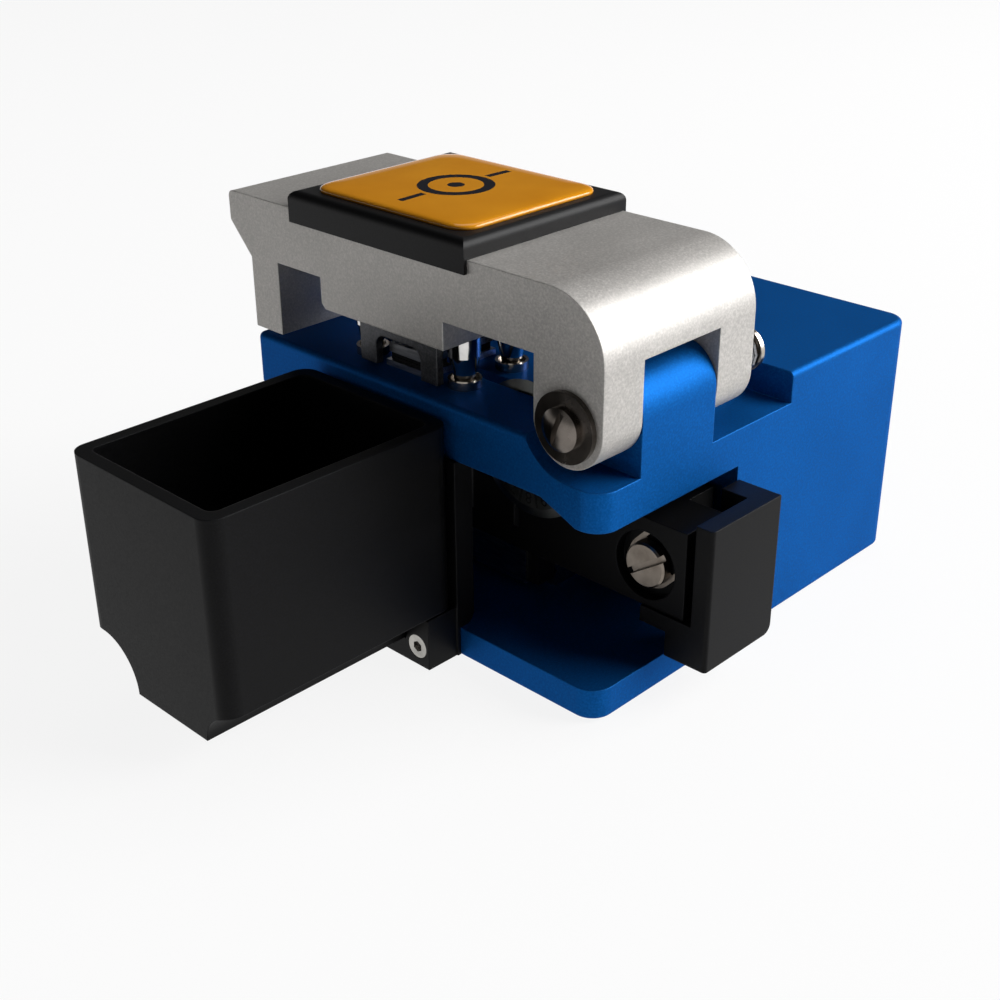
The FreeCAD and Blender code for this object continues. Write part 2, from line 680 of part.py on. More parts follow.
def make_blade_post():
    """Steel post: a root in the tower, a flange behind the blade, and the spigot that it turns on."""
    flange = blade_back_x() - RUN_GAP - FACE_X
    post = rod((FACE_X, BLADE_Y, BLADE_Z), (1, 0, 0), POST_FLANGE_R, flange)
    post = post.fuse(rod((FACE_X - TOWER_T, BLADE_Y, BLADE_Z), (1, 0, 0), POST_ROOT_R, TOWER_T))
    spigot = flange + BLADE_T + 2 * RUN_GAP
    post = post.fuse(rod((FACE_X, BLADE_Y, BLADE_Z), (1, 0, 0), BLADE_BORE_R, spigot)).removeSplitter()
    hole = rod((FACE_X + spigot, BLADE_Y, BLADE_Z), (-1, 0, 0), SCREW_R + SLIP_GAP, SCREW_L)
    return post.cut(hole)


def make_blade_screw():
    """Slotted screw that keeps the blade on its post."""
    seat = (blade_back_x() + BLADE_T + RUN_GAP, BLADE_Y, BLADE_Z)
    head = pan_head(seat, (1, 0, 0), BLADE_SCREW_R, BLADE_SCREW_T, HEAD_SLOT_W, HEAD_SLOT_D)
    return head.fuse(rod(seat, (-1, 0, 0), SCREW_R, SCREW_L - 0.5)).removeSplitter()


def make_blade():
    """The carbide wheel: a thin disc, ground to an edge from both sides."""
    half = BLADE_T / 2
    bore = BLADE_BORE_R + RUN_GAP
    outline = [(-half, bore), (half, bore), (half, BLADE_R - BLADE_BEVEL), (0.04, BLADE_R),
               (-0.04, BLADE_R), (-half, BLADE_R - BLADE_BEVEL)]
    corners = [V(BLADE_X + x, BLADE_Y, BLADE_Z + r) for x, r in outline]
    face = Part.Face(Part.makePolygon(corners + corners[:1]))
    return face.revolve(V(BLADE_X, BLADE_Y, BLADE_Z), V(1, 0, 0), 360)


def make_lock_screw():
    """Large slotted screw that locks the blade's height."""
    seat = (FACE_X - LOCK_WELL_D + LOCK_WASHER_T, LOCK_Y, CARRIAGE_Z + LOCK_Z)
    head = rod(seat, (1, 0, 0), LOCK_R, LOCK_T)
    head = head.makeChamfer(0.25, [e for e in head.Edges if abs(e.BoundBox.XMin - seat[0] - LOCK_T) < 0.01])
    slot = box(-LOCK_SLOT_D, 1, -LOCK_R * 1.2, LOCK_R * 1.2, -LOCK_SLOT_W / 2, LOCK_SLOT_W / 2)
    slot.rotate(V(0, 0, 0), V(1, 0, 0), LOCK_SLOT_ANGLE)
    slot.translate(V(*along(seat, (1, 0, 0), LOCK_T)))
    head = head.cut(slot)
    return head.fuse(rod(seat, (-1, 0, 0), LOCK_SHANK_R, LOCK_SHANK_L)).removeSplitter()


def make_lock_washer():
    """Open washer in the well under the lock screw's head."""
    start = (FACE_X - LOCK_WELL_D, LOCK_Y, CARRIAGE_Z + LOCK_Z)
    half = LOCK_WASHER_R
    slot = half - LOCK_PRONG_W
    washer = rod((0, 0, 0), (1, 0, 0), LOCK_WASHER_R, LOCK_WASHER_T)
    washer = washer.fuse(box(0, LOCK_WASHER_T, 0, LOCK_PRONG_L, -half, half)).removeSplitter()
    washer = washer.cut(rod((0, 0, 0), (1, 0, 0), LOCK_SHANK_R + HOLE_GAP, LOCK_WASHER_T))
    washer = washer.cut(box(0, LOCK_WASHER_T, LOCK_SHANK_R, LOCK_PRONG_L + 1, -slot, slot))
    washer.rotate(V(0, 0, 0), V(1, 0, 0), LOCK_OPEN_ANGLE)
    washer.translate(V(*start))
    return washer


def make_lid_arm():
    """The lid: a beam with a hook leg and lip in front, a clamp foot in the middle and two ears."""
    beam_z = TOP_Z + BEAM_UNDER
    leg_y = -BACK_Y + LEG_SET_BACK
    outline = [
        (leg_y - LIP_REACH, LID_TOP_Z),
        (leg_y - LIP_REACH, TOP_Z + LIP_UNDER),
        (leg_y, TOP_Z + LIP_BEVEL_END),
        (leg_y, TOP_Z + LEG_UNDER),
        (leg_y + LEG_T, TOP_Z + LEG_UNDER),
        (leg_y + LEG_T, TOP_Z + NOTCH_UNDER),
        (FOOT_FRONT, TOP_Z + NOTCH_UNDER),
        (FOOT_FRONT, LID_FOOT_Z + FOOT_BEVEL),
        (FOOT_FRONT + FOOT_BEVEL, LID_FOOT_Z),
        (FOOT_BACK, LID_FOOT_Z),
        (FOOT_BACK, beam_z),
        (HINGE_Y - EAR_R, beam_z),
        (HINGE_Y - EAR_R, HINGE_Z),
        (BACK_Y, HINGE_Z),
        (BACK_Y, LID_TOP_Z),
    ]
    lid = side_prism(outline, LID_X0, LID_X1)
    lid = lid.fuse(rod((LID_X0, HINGE_Y, HINGE_Z), (1, 0, 0), EAR_R, LID_W)).removeSplitter()
    lid = lid.makeFillet(BACK_R, edges_along(lid, 0, [(BACK_Y, LID_TOP_Z)]))
    lip = [(leg_y - LIP_REACH, LID_TOP_Z), (leg_y - LIP_REACH, TOP_Z + LIP_UNDER)]
    lid = lid.makeFillet(LIP_R, edges_along(lid, 0, lip))
    fork_x = LID_MID - FORK_GAP / 2
    tools = [box(fork_x, fork_x + FORK_GAP, HINGE_Y - EAR_R - 1, BACK_Y + 1, HINGE_Z - EAR_R - 1, beam_z)]
    tools.append(rod((LID_X0 - 1, HINGE_Y, HINGE_Z), (1, 0, 0), PIN_R + SLIP_GAP, LID_W + 2))
    for x, y in stop_places():
        stem = rod((x, y, LID_FOOT_Z - 1), (0, 0, 1), STOP_STEM_R + SLIP_GAP, STOP_STEM_L + 1)
        tools.extend(mirror_pair(stem))
    clamp_bore = rod((clamp_x(), FIBRE_Y, LID_FOOT_Z - 1), (0, 0, 1), CLAMP_BORE_R, CLAMP_BORE_H + 1)
    tools.extend(mirror_pair(clamp_bore))
    anvil_guide = rod((BLADE_X, FIBRE_Y, LID_FOOT_Z - 1), (0, 0, 1), ANVIL_STEM_R + RUN_GAP, ANVIL_STEP + 2)
    chamber = rod((BLADE_X, FIBRE_Y, LID_FOOT_Z + ANVIL_STEP), (0, 0, 1), ANVIL_BORE_R, LID_TOP)
    tools += [anvil_guide, chamber]
    return lid.cut(Part.makeCompound(tools))


def clamp_x():
    """Centre along X of the clamp on the bin's side."""
    return BLADE_X + (SHOE_X0 + SHOE_X1) / 2


def make_saddle():
    """The grip saddle: a moulded cap over the lid, with short skirts down both sides."""
    x0 = LID_X0 - PAD_SIDE_T
    x1 = LID_X1 + PAD_SIDE_T
    top = LID_TOP_Z + PAD_T
    pad = box(x0, x1, PAD_FRONT, PAD_BACK, LID_TOP_Z - PAD_SKIRT, top)
    pad = pad.makeFillet(PAD_EDGE_R, edges_at_height(pad, top))
    return pad.cut(box(LID_X0, LID_X1, PAD_FRONT - 1, PAD_BACK + 1, LID_TOP_Z - PAD_SKIRT - 1, LID_TOP_Z))


def make_dome():
    """Domed resin badge on the saddle, left blank."""
    z0 = LID_TOP_Z + PAD_T
    dome = rounded_block(LID_X0 + DOME_MARGIN - PAD_SIDE_T, LID_X1 - DOME_MARGIN + PAD_SIDE_T,
                         PAD_FRONT + DOME_MARGIN, PAD_BACK - DOME_MARGIN, z0, z0 + DOME_T, DOME_CORNER_R)
    return dome.makeFillet(DOME_EDGE_R, edges_at_height(dome, z0 + DOME_T))


def spring_end_x():
    """The torsion spring's outer end along X."""
    return LID_X0 - LUG_GAP - SPRING_L + SPRING_WIRE_R


def make_hinge_pin():
    """Hinge pin with a domed, slotted head beyond the spring and a threaded hole at the other end."""
    seat = LID_X0 - LUG_GAP - SPRING_L - LUG_GAP
    pin = rod((seat, HINGE_Y, HINGE_Z), (1, 0, 0), PIN_R, LID_X1 - seat)
    end = (seat, HINGE_Y, HINGE_Z)
    pin = pin.fuse(pan_head(end, (-1, 0, 0), FAR_HEAD_R, HEAD_T, HEAD_SLOT_W, HEAD_SLOT_D))
    hole = rod((LID_X1, HINGE_Y, HINGE_Z), (-1, 0, 0), SCREW_R + SLIP_GAP, SCREW_L)
    return pin.removeSplitter().cut(hole)


def make_hinge_washer():
    """Large plain washer against the ear on the bin's side."""
    washer = rod((LID_X1, HINGE_Y, HINGE_Z), (1, 0, 0), WASHER_R, WASHER_T)
    return washer.cut(rod((LID_X1, HINGE_Y, HINGE_Z), (1, 0, 0), SCREW_R + HOLE_GAP, WASHER_T))


def make_hinge_screw():
    """Slotted pan-head screw in the end of the hinge pin."""
    seat = (LID_X1 + WASHER_T, HINGE_Y, HINGE_Z)
    head = pan_head(seat, (1, 0, 0), HEAD_R, HEAD_T, HEAD_SLOT_W, HEAD_SLOT_D, HINGE_SLOT_ANGLE)
    return head.fuse(rod(seat, (-1, 0, 0), SCREW_R, SCREW_L)).removeSplitter()


def make_lid_spring():
    """Torsion spring round the hinge pin, with one leg down into the body."""
    mean_r = PIN_R + SPRING_GAP + SPRING_WIRE_R
    start = (LID_X0 - LUG_GAP - SPRING_L, HINGE_Y, HINGE_Z)
    spring = coil(start, (1, 0, 0), mean_r, SPRING_WIRE_R, SPRING_L, SPRING_TURNS)
    leg_z = HINGE_Z - POCKET_R - SPRING_LEG_DEPTH
    leg = rod((spring_end_x(), HINGE_Y - mean_r, leg_z), (0, 0, 1), SPRING_WIRE_R, HINGE_Z - leg_z)
    return spring, leg


def make_bushes():
    """Plain bronze bushes pressed into both ends of the lug."""
    lug_x = LID_MID - LUG_W / 2
    bushes = []
    for x in (lug_x, lug_x + LUG_W - BUSH_L):
        bush = rod((x, HINGE_Y, HINGE_Z), (1, 0, 0), PIN_R + RUN_GAP + BUSH_T, BUSH_L)
        bushes.append(bush.cut(rod((x, HINGE_Y, HINGE_Z), (1, 0, 0), PIN_R + RUN_GAP, BUSH_L)))
    return bushes


def make_magnets():
    """Plated latch magnets with a raised rim, two on each side of the blade."""
    cups = []
    for x, y in stop_places():
        cup = rod((x, y, TOP_Z - CUP_SEAT), (0, 0, 1), CUP_R, CUP_SEAT + CUP_PROUD)
        cup = cup.cut(rod((x, y, TOP_Z + CUP_PROUD - CUP_WELL_D), (0, 0, 1), CUP_WELL_R, CUP_WELL_D))
        cups.extend(mirror_pair(cup))
    return cups


def make_lid_stops():
    """Polished stops under the lid: a round head, a taper down to the magnet and a stem in the foot."""
    stops = []
    tip_z = TOP_Z + CUP_PROUD - CUP_WELL_D + TIP_GAP
    shoulder_z = LID_FOOT_Z - STOP_DROP
    for x, y in stop_places():
        stop = rod((x, y, shoulder_z), (0, 0, 1), STOP_R, STOP_DROP)
        stop = stop.fuse(Part.makeCone(STOP_TIP_R, STOP_R * 0.95, shoulder_z - tip_z, V(x, y, tip_z)))
        stop = stop.fuse(rod((x, y, LID_FOOT_Z), (0, 0, 1), STOP_STEM_R, STOP_STEM_L))
        stops.extend(mirror_pair(stop.removeSplitter()))
    return stops


def make_lower_shoes():
    """Steel shoes on the body, one each side of the blade."""
    y0 = FIBRE_Y - SHOE_Y / 2
    shoe = box(BLADE_X + SHOE_X0, BLADE_X + SHOE_X1, y0, y0 + SHOE_Y, TOP_Z, TOP_Z + SHOE_T)
    return mirror_pair(shoe)


def make_lower_pads():
    """Rubber faces of the lower shoes."""
    inset = LOWER_PAD_INSET
    y0 = FIBRE_Y - SHOE_Y / 2 + inset
    pad = box(BLADE_X + SHOE_X0 + inset, BLADE_X + SHOE_X1 - inset, y0, y0 + SHOE_Y - 2 * inset,
              TOP_Z + SHOE_T, FIBRE_Z)
    return mirror_pair(pad)


def make_clamp_frame():
    """Frame under the lid's foot on the bin's side: a web with an arched cheek outside it."""
    web_z = LID_FOOT_Z - FRAME_T
    half = FRAME_Y / 2
    web = box(BLADE_X + SHOE_X0, BLADE_X + FRAME_X1, FIBRE_Y - half, FIBRE_Y + half, web_z, LID_FOOT_Z)
    cheek_x = BLADE_X + FRAME_X1
    foot_z = TOP_Z + CHEEK_LIFT
    cheek = box(cheek_x, cheek_x + CHEEK_T, FIBRE_Y - CHEEK_Y / 2, FIBRE_Y + CHEEK_Y / 2, foot_z, LID_FOOT_Z)
    gap_z = foot_z + CHEEK_GAP_H
    gap = [(FIBRE_Y - CHEEK_GAP_Y / 2, gap_z), (FIBRE_Y + CHEEK_GAP_Y / 2, gap_z)]
    arch = box(cheek_x, cheek_x + CHEEK_T, gap[0][0], gap[1][0], foot_z - 1, gap_z)
    arch = arch.makeFillet(CHEEK_GAP_R, edges_along(arch, 0, gap))
    frame = web.fuse(cheek.cut(arch)).removeSplitter()
    return frame.cut(rod((clamp_x(), FIBRE_Y, web_z - 1), (0, 0, 1), STEM_R + RUN_GAP, FRAME_T + 2))


def make_clamp_shoe():
    """Upper clamp shoe on the bin's side, with its guide stem."""
    inset = UPPER_SHOE_INSET
    z0 = FIBRE_Z + CLAMP_OPEN + UPPER_PAD_T
    y0 = FIBRE_Y - SHOE_Y / 2 + inset
    y1 = FIBRE_Y + SHOE_Y / 2 - inset
    shoe = box(BLADE_X + SHOE_X0 + inset, BLADE_X + SHOE_X1 - inset, y0, y1, z0, z0 + UPPER_SHOE_T)
    top = LID_FOOT_Z + STEM_RING_T + STEM_OVER
    return shoe.fuse(rod((clamp_x(), FIBRE_Y, z0), (0, 0, 1), STEM_R, top - z0)).removeSplitter()


def make_clamp_pad():
    """Rubber face of the upper clamp shoe."""
    inset = LOWER_PAD_INSET
    z0 = FIBRE_Z + CLAMP_OPEN
    y0 = FIBRE_Y - SHOE_Y / 2 + inset
    y1 = FIBRE_Y + SHOE_Y / 2 - inset
    return box(BLADE_X + SHOE_X0 + inset, BLADE_X + SHOE_X1 - inset, y0, y1, z0, z0 + UPPER_PAD_T)


def make_clamp_ring():
    """Ring on the clamp's stem, which hangs on the frame's web."""
    ring = rod((clamp_x(), FIBRE_Y, LID_FOOT_Z), (0, 0, 1), STEM_RING_R, STEM_RING_T)
    return ring.cut(rod((clamp_x(), FIBRE_Y, LID_FOOT_Z), (0, 0, 1), STEM_R + SLIP_GAP, STEM_RING_T))


def make_clamp_spring():
    """Spring that pushes the clamp down, above its ring."""
    start = (clamp_x(), FIBRE_Y, LID_FOOT_Z + STEM_RING_T)
    mean_r = (STEM_R + CLAMP_BORE_R) / 2
    return coil(start, (0, 0, 1), mean_r, CLAMP_WIRE_R, CLAMP_BORE_H - STEM_RING_T, CLAMP_TURNS)


def anvil_ring_z():
    """Underside of the anvil's ring."""
    return LID_FOOT_Z + ANVIL_STEP + ANVIL_SPRING_H


def make_anvil():
    """The anvil: a thin blade on a round stem that slides in the lid's foot."""
    z0 = FIBRE_Z + ANVIL_RISE + ANVIL_TIP_H
    web_top = LID_FOOT_Z - ANVIL_WEB_GAP
    half_x = ANVIL_T / 2
    half_y = ANVIL_Y / 2
    web = box(BLADE_X - half_x, BLADE_X + half_x, FIBRE_Y - half_y, FIBRE_Y + half_y, z0, web_top)
    top = anvil_ring_z() + ANVIL_RING_T
    return web.fuse(rod((BLADE_X, FIBRE_Y, web_top - 1), (0, 0, 1), ANVIL_STEM_R * 0.66, 1)).fuse(
        rod((BLADE_X, FIBRE_Y, web_top), (0, 0, 1), ANVIL_STEM_R, top - web_top)).removeSplitter()


def make_anvil_tip():
    """Hard rubber tip of the anvil."""
    z0 = FIBRE_Z + ANVIL_RISE
    return box(BLADE_X - ANVIL_T / 2, BLADE_X + ANVIL_T / 2, FIBRE_Y - ANVIL_Y / 2, FIBRE_Y + ANVIL_Y / 2,
               z0, z0 + ANVIL_TIP_H)


def make_anvil_ring():
    """Ring on the anvil's stem that the return spring lifts."""
    ring = rod((BLADE_X, FIBRE_Y, anvil_ring_z()), (0, 0, 1), ANVIL_RING_R, ANVIL_RING_T)
    bore = rod((BLADE_X, FIBRE_Y, anvil_ring_z()), (0, 0, 1), ANVIL_STEM_R + SLIP_GAP, ANVIL_RING_T)
    return ring.cut(bore)


def make_anvil_spring():
    """Return spring under the anvil's ring."""
    start = (BLADE_X, FIBRE_Y, LID_FOOT_Z + ANVIL_STEP)
    mean_r = (ANVIL_STEM_R + ANVIL_BORE_R) / 2
    return coil(start, (0, 0, 1), mean_r, CLAMP_WIRE_R, ANVIL_SPRING_H, CLAMP_TURNS)


def make_anvil_plug():
    """Plug that closes the anvil's bore, under the saddle."""
    z0 = anvil_ring_z() + ANVIL_RING_T
    plug = rod((BLADE_X, FIBRE_Y, z0), (0, 0, 1), ANVIL_BORE_R - SLIP_GAP, LID_TOP_Z - z0)
    half = HEAD_SLOT_W / 2
    slot = box(BLADE_X - ANVIL_BORE_R, BLADE_X + ANVIL_BORE_R, FIBRE_Y - half, FIBRE_Y + half,
               LID_TOP_Z - HEAD_SLOT_D, LID_TOP_Z)
    return plug.cut(slot)


def adapter_screw_places():
    """Places of the adapter's screws along X."""
    inset = ADAPTER_W / 2
    return [ADAPTER_X0 + inset, ADAPTER_X0 + ADAPTER_L - inset]


def make_adapter():
    """Fibre adapter: a plate let into the body, with a long vee groove on the fibre line."""
    z0 = TOP_Z - ADAPTER_SINK
    z1 = FIBRE_Z + ADAPTER_RISE
    x1 = ADAPTER_X0 + ADAPTER_L
    plate = box(ADAPTER_X0, x1, FIBRE_Y - ADAPTER_W / 2, FIBRE_Y + ADAPTER_W / 2, z0, z1)
    vee = side_prism([(FIBRE_Y - VEE_D, z1), (FIBRE_Y, z1 - VEE_D), (FIBRE_Y + VEE_D, z1)], ADAPTER_X0, x1)
    plate = plate.cut(vee)
    for x in adapter_screw_places():
        y = FIBRE_Y + ADAPTER_W / 4
        plate = plate.cut(rod((x, y, z0), (0, 0, 1), CSK_HOLE_R + HOLE_GAP, z1 - z0))
        plate = plate.cut(Part.makeCone(CSK_HOLE_R + HOLE_GAP, CSK_R + HOLE_GAP, CSK_R - CSK_HOLE_R,
                                        V(x, y, z1 - CSK_R + CSK_HOLE_R)))
    return plate


def make_adapter_screws():
    """Countersunk screws of the adapter."""
    screws = []
    z1 = FIBRE_Z + ADAPTER_RISE
    head = CSK_R - CSK_HOLE_R
    for x in adapter_screw_places():
        y = FIBRE_Y + ADAPTER_W / 4
        screw = Part.makeCone(CSK_HOLE_R, CSK_R, head, V(x, y, z1 - head))
        screw = screw.fuse(rod((x, y, z1 - head), (0, 0, -1), CSK_HOLE_R, CSK_L)).removeSplitter()
        slot = box(x - CSK_R, x + CSK_R, y - HEAD_SLOT_W / 4, y + HEAD_SLOT_W / 4, z1 - head / 2, z1)
        screws.append(screw.cut(slot))
    return screws


def bin_scoops(grow, x0, x1):
    """The two long scoops along the bin's lower edges, grown by a distance."""
    back = rod((x0, BIN_BACK, BIN_Z), (1, 0, 0), BIN_BACK_SCOOP_R + grow, x1 - x0)
    front_y = BIN_FRONT + BIN_FRONT_SCOOP_IN
    front = rod((x0, front_y, BIN_Z), (1, 0, 0), BIN_FRONT_SCOOP_R + grow, x1 - x0)
    return back.fuse(front)


def make_bin():
    """Scrap bin: an open box with rounded corners and a scoop along each lower edge."""
    x1 = BIN_X + BIN_L
    top = BIN_Z + BIN_H
    shell = rounded_block(BIN_X, x1, BIN_FRONT, BIN_BACK, BIN_Z, top, BIN_CORNER_R)
    shell = shell.cut(bin_scoops(0, BIN_X - 1, x1 + 1))
    hollow = rounded_block(BIN_X + BIN_WALL, x1 - BIN_WALL, BIN_FRONT + BIN_WALL, BIN_BACK - BIN_WALL,
                           BIN_Z + BIN_WALL, top + 1, BIN_CORNER_R - BIN_WALL / 2)
    shell = shell.cut(hollow.cut(bin_scoops(BIN_WALL, BIN_X - 1, x1 + 1)))
    for y in magnet_places():
        seat = (BIN_X - 1, y, BIN_Z + MAGNET_Z)
        shell = shell.cut(rod(seat, (1, 0, 0), MAGNET_R + SLIP_GAP, 1 + MAGNET_T))
    return shell


def make_bin_magnets():
    """Disc magnets let into the bin's inner wall."""
    return [rod((BIN_X, y, BIN_Z + MAGNET_Z), (1, 0, 0), MAGNET_R, MAGNET_T) for y in magnet_places()]


def bracket_face_x():
    """Outer face of the bracket's wall."""
    return BIN_X - BRACKET_STEP


def make_bracket():
    """Bin bracket: a wall that closes the channel's mouth, and a cradle under the bin."""
    x0 = bracket_face_x() - BRACKET_T
    y1 = BIN_BACK + BRACKET_STEP
    wall = box(x0, bracket_face_x(), BRACKET_FRONT, y1, FLOOR_Z, ROOF_Z)
    wall = wall.makeFillet(BRACKET_EDGE_R, edges_along(wall, 1, [(x0, FLOOR_Z)]))
    front_y = BIN_FRONT + BIN_FRONT_SCOOP_IN
    x1 = SIDE_X + CRADLE_L
    foot_z = CRADLE_LIFT
    cradle = box(SIDE_X, x1, front_y, BIN_BACK, foot_z, BIN_Z)
    rails = bin_scoops(-CRADLE_GAP, SIDE_X, x1)
    cradle = cradle.fuse(rails.common(box(SIDE_X, x1, front_y, BIN_BACK, BIN_Z - 1, BIN_Z + BIN_H)))
    back_strip = box(SIDE_X, bracket_face_x(), BIN_BACK, y1, foot_z, FLOOR_Z)
    bracket = wall.fuse(cradle).fuse(back_strip).removeSplitter()
    for y in bracket_screw_places():
        z = BRACKET_SCREW_Z
        bracket = bracket.cut(rod((x1, y, z), (-1, 0, 0), BRACKET_SCREW_R + HOLE_GAP, CRADLE_L))
        bracket = bracket.cut(rod((x1, y, z), (-1, 0, 0), BRACKET_HEAD_R + HOLE_GAP, CAP_HEAD_T))
    for y in magnet_places():
        seat = (bracket_face_x() + 1, y, BIN_Z + MAGNET_Z)
        bracket = bracket.cut(rod(seat, (-1, 0, 0), MAGNET_R + SLIP_GAP, 1 + MAGNET_T))
    return bracket


def make_bracket_screws():
    """Small cap screws through the cradle into the edge of the body's floor."""
    z = BRACKET_SCREW_Z
    x = SIDE_X + CRADLE_L - CAP_HEAD_T
    return [cap_screw((x, y, z), (1, 0, 0), BRACKET_SCREW_L - CAP_HEAD_T, BRACKET_SCREW_R, BRACKET_HEAD_R)
            for y in bracket_screw_places()]


def make_bracket_magnets():
    """Disc magnets let into the bracket's wall."""
    z = BIN_Z + MAGNET_Z
    return [rod((bracket_face_x(), y, z), (-1, 0, 0), MAGNET_R, MAGNET_T) for y in magnet_places()]


def export(name, made):
    """Write one node, which may be a group of separate solids."""
    shape = Part.makeCompound(list(made)) if isinstance(made, (list, tuple)) else made
    shape.exportStep("parts/" + name + ".step")


def other_side(solid):
    """The twin of a piece across the blade's plane."""
    return mirror_pair(solid)[1]


os.makedirs("parts", exist_ok=True)

export("base_body", make_body())
export("rubber_feet", make_feet())
export("guide_rail", make_rail())
export("rail_screws", make_rail_screws())
export("fibre_adapter", make_adapter())
export("adapter_screws", make_adapter_screws())
export("lower_clamp_shoes", make_lower_shoes())
export("lower_clamp_pads", make_lower_pads())
export("latch_magnets", make_magnets())
export("lug_bushes", make_bushes())
export("lid_spring", make_lid_spring())
export("bin_bracket", make_bracket())
export("bracket_screws", make_bracket_screws())
export("bracket_magnets", make_bracket_magnets())

export("guide_block", make_guide_block())
export("guide_end_caps", make_guide_caps())
export("carriage", make_carriage())
export("guide_screws", make_guide_screws())
export("back_push_block", make_push_block(*block_ends()[0], over_rail=False))
export("front_push_block", make_push_block(*block_ends()[1], over_rail=True))
export("push_block_screws", make_block_screws())
export("blade_post", make_blade_post())
export("blade_screw", make_blade_screw())
export("lock_screw", make_lock_screw())
export("lock_washer", make_lock_washer())
export("blade_wheel", make_blade())

export("lid_arm", make_lid_arm())
export("grip_saddle", make_saddle())
export("badge_dome", make_dome())
export("hinge_pin", make_hinge_pin())
export("hinge_washer", make_hinge_washer())
export("hinge_screw", make_hinge_screw())
export("lid_stops", make_lid_stops())
export("anvil_plug", make_anvil_plug())
export("anvil_spring", make_anvil_spring())
export("anvil_plunger", make_anvil())
export("anvil_tip", make_anvil_tip())
export("anvil_ring", make_anvil_ring())

for side, place in (("right", lambda s: s), ("left", other_side)):
    export("clamp_frame_" + side, place(make_clamp_frame()))
    export("clamp_shoe_" + side, place(make_clamp_shoe()))
    export("clamp_pad_" + side, place(make_clamp_pad()))
    export("clamp_ring_" + side, place(make_clamp_ring()))
    export("clamp_spring_" + side, place(make_clamp_spring()))

export("scrap_bin", make_bin())
export("bin_magnets", make_bin_magnets())
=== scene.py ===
import math

import bmesh
import bpy
from mathutils import Matrix, Vector


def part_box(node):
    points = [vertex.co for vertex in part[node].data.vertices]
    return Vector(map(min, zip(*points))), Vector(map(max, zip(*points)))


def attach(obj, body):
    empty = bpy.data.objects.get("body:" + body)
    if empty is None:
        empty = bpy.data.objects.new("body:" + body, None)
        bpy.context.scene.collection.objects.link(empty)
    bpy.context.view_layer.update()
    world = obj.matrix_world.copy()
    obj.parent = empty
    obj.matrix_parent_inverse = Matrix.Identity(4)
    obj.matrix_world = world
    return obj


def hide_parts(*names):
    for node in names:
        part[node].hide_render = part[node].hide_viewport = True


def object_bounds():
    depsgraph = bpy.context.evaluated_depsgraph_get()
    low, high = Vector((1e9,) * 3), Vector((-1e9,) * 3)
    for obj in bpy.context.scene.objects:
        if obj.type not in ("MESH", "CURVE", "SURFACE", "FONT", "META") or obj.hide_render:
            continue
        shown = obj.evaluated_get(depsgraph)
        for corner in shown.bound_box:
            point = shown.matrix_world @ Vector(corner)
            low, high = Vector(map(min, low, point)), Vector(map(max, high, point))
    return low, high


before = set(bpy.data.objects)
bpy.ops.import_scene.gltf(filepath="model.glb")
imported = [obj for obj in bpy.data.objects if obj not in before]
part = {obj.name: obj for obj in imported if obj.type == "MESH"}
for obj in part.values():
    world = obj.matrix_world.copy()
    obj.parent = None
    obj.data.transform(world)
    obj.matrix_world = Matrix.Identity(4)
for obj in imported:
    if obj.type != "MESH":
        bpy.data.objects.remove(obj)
cad_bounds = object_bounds()
scene = bpy.context.scene

# ---- Body and hinge lug
# One block of aluminium, milled, then blasted with fine glass beads and anodised blue.  The blast
# leaves a soft, faintly sparkling matt skin; each broken edge gets a painted highlight, a lighter
# colour for the light it catches.


def linear(colour, alpha=1.0):
    """A hex colour as linear light."""
    values = [int(colour[i:i + 2], 16) / 255 for i in (1, 3, 5)]
    return [v / 12.92 if v <= 0.04045 else ((v + 0.055) / 1.055) ** 2.4 for v in values] + [alpha]


def add_node(tree, kind, settings=None, **links):
    """Adds one node.  Settings are attributes or sockets; a link names its input, or i0, i1 ..."""
    node = tree.nodes.new("ShaderNode" + kind)
    for name, value in (settings or {}).items():
        if hasattr(node, name):
            setattr(node, name, value)
        else:
            node.inputs[name].default_value = value
    for name, source in links.items():
        name = name.replace("_", " ")
        numbered = name[0] == "i" and name[1:].isdigit()
        tree.links.new(source, node.inputs[int(name[1:]) if numbered else name])
    return node


def start_finish(name):
    """A node material with a Principled surface, and where it reads its place on the object."""
    finish = bpy.data.materials.new(name)
    finish.use_nodes = True
    tree = finish.node_tree
    tree.nodes.clear()
    place = add_node(tree, "TexCoord").outputs["Object"]
    surface = add_node(tree, "BsdfPrincipled")
    add_node(tree, "OutputMaterial", Surface=surface.outputs["BSDF"])
    return finish, tree, place, surface


def edge_break(tree, radius_mm):
    """The small break that deburring leaves: a rounded normal along each edge, and where it is."""
    broken = add_node(tree, "Bevel", {"samples": 6, "Radius": radius_mm / 1000})
    face = add_node(tree, "NewGeometry")
    turn = add_node(tree, "VectorMath", {"operation": "DOT_PRODUCT"}, i0=broken.outputs["Normal"],
                    i1=face.outputs["Normal"])
    mask = add_node(tree, "MapRange", {"From Min": 0.995, "From Max": 0.88, "To Min": 0.0,
                                       "To Max": 1.0}, Value=turn.outputs["Value"])
    return broken.outputs["Normal"], mask.outputs["Result"]


